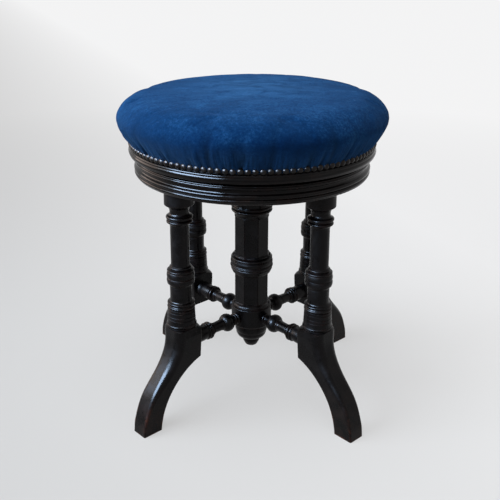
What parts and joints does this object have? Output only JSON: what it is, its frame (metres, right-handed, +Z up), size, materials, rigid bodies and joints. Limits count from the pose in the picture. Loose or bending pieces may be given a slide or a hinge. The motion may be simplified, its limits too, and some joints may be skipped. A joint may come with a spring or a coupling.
{
  "type": "revolving piano stool",
  "caption": "Round upholstered stool whose seat turns on a screw to rise and fall, on a central column and turned legs.",
  "frame": {"origin": "on the floor, under the centre of the column", "axes": "+Z up along the column and the screw; the front faces -Y and the legs stand on the diagonals"},
  "size_m": [0.395, 0.395, 0.478],
  "materials": {
    "cover": "napped suede cloth",
    "stuffing": "horsehair and tow",
    "ebonised_wood": "black French polish",
    "iron": "worn black iron",
    "steel": "oiled steel",
    "nail_brass": "antique bronze"
  },
  "bodies": {
    "base": {"fixed_top": "ebonised_wood", "screw_bush": "iron", "bush_screws": "steel", "centre_column": "ebonised_wood", "column_drop": "ebonised_wood", "front_left_leg": "ebonised_wood", "front_right_leg": "ebonised_wood", "back_left_leg": "ebonised_wood", "back_right_leg": "ebonised_wood", "front_left_stretcher": "ebonised_wood", "front_right_stretcher": "ebonised_wood", "back_left_stretcher": "ebonised_wood", "back_right_stretcher": "ebonised_wood"},
    "rising_washer": {"stop_washer": "steel"},
    "seat": {"seat_cover": "cover", "seat_stuffing": "stuffing", "seat_board": "ebonised_wood", "upholstery_nails": "nail_brass", "seat_plate": "iron", "seat_plate_screws": "steel", "seat_screw": "steel", "stop_nut": "steel"}
  },
  "joints": [
    {"name": "seat_rise", "type": "slide", "parent": "base", "child": "rising_washer", "axis": [0, 0, 1], "range_m": [0, 0.08]},
    {"name": "seat_turn", "type": "hinge", "parent": "rising_washer", "child": "seat", "pos_m": [0, 0, 0.382], "axis": [0, 0, 1], "range_deg": [0, 3600]}
  ],
  "couplings": [
    {"joint": "seat_rise", "follows": "seat_turn", "m_per_rad": 0.0012732}
  ]
}
